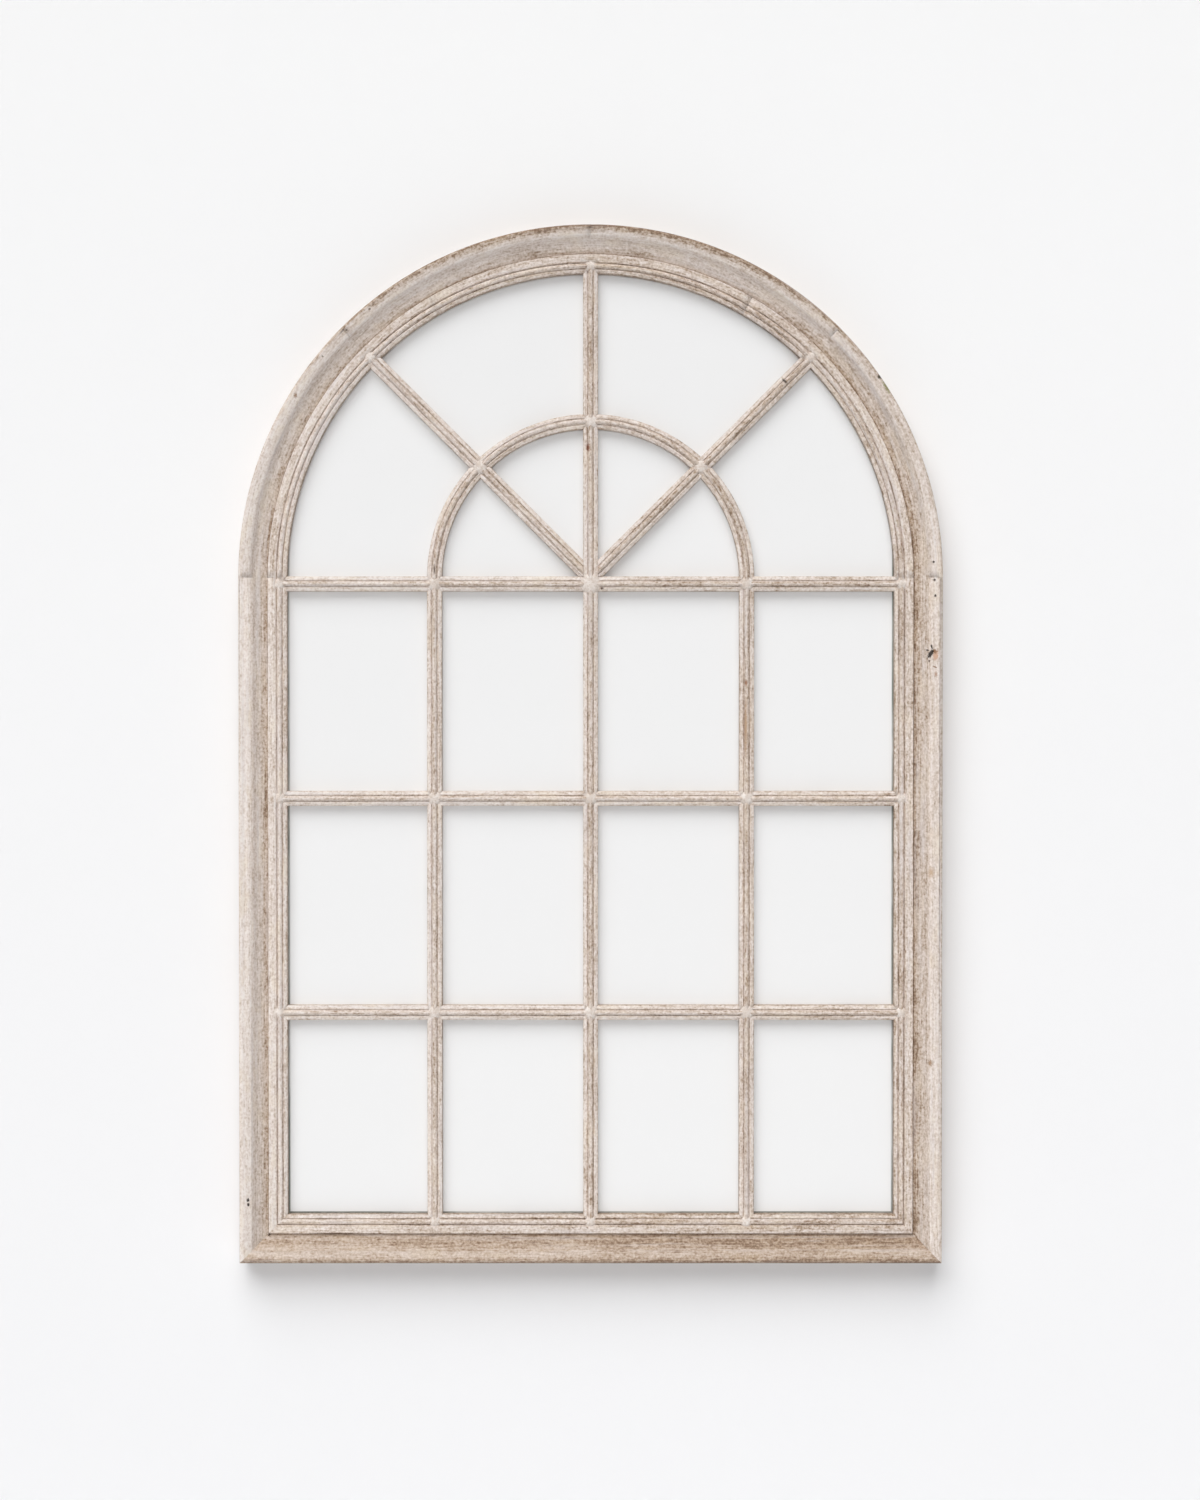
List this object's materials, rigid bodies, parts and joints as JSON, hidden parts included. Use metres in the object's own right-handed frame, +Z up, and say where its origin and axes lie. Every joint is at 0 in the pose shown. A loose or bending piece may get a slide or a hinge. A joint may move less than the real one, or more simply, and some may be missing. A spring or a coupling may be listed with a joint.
{
  "type": "arched window mirror",
  "caption": "Arched wall mirror built like a window: moulded limewashed wood frame, sash and glazing-bar grille with a fan head over an arched mirror, on swinging ring hangers.",
  "frame": {"origin": "middle of the bottom face, across the width and through the depth with the wall bumpers", "axes": "+X to the viewer's right, +Y from the viewer to the wall, +Z up"},
  "size_m": [0.9, 0.047, 1.328],
  "materials": {
    "frame_wood": "limewashed, sanded, matt",
    "sash_wood": "limewashed, sanded, matt",
    "grille_wood": "limewashed, sanded, matt",
    "spline_wood": "bare beech",
    "mirror": "silvered glass",
    "board": "bare fibreboard",
    "steel": "zinc plated",
    "bumper": "matt"
  },
  "bodies": {
    "frame": {"backing_board": "board", "bottom_rail": "frame_wood", "centre_upright_bar": "grille_wood", "corner_splines": "spline_wood", "glazing_points": "steel", "hanger_screws": "steel", "head_left_lower": "frame_wood", "head_left_upper": "frame_wood", "head_right_lower": "frame_wood", "head_right_upper": "frame_wood", "head_splines": "spline_wood", "left_hanger_strap": "steel", "left_inner_arch": "grille_wood", "left_radial_bar": "grille_wood", "left_stile": "frame_wood", "left_upright_bar": "grille_wood", "lower_level_bar": "grille_wood", "middle_level_bar": "grille_wood", "mirror_glass": "mirror", "right_hanger_strap": "steel", "right_inner_arch": "grille_wood", "right_radial_bar": "grille_wood", "right_stile": "frame_wood", "right_upright_bar": "grille_wood", "sash_bottom_rail": "sash_wood", "sash_corner_splines": "spline_wood", "sash_head_crown": "sash_wood", "sash_head_left": "sash_wood", "sash_head_right": "sash_wood", "sash_head_splines": "spline_wood", "sash_left_stile": "sash_wood", "sash_right_stile": "sash_wood", "springing_bar": "grille_wood", "wall_bumpers": "bumper"},
    "left_ring": {"left_hanger_ring": "steel"},
    "right_ring": {"right_hanger_ring": "steel"}
  },
  "joints": [
    {"name": "left_ring_swing", "type": "hinge", "parent": "frame", "child": "left_ring", "pos_m": [-0.435, 0.01958, 0.768], "axis": [1, 0, 0], "range_deg": [0, 178]},
    {"name": "right_ring_swing", "type": "hinge", "parent": "frame", "child": "right_ring", "pos_m": [0.435, 0.01958, 0.768], "axis": [1, 0, 0], "range_deg": [0, 178]}
  ]
}
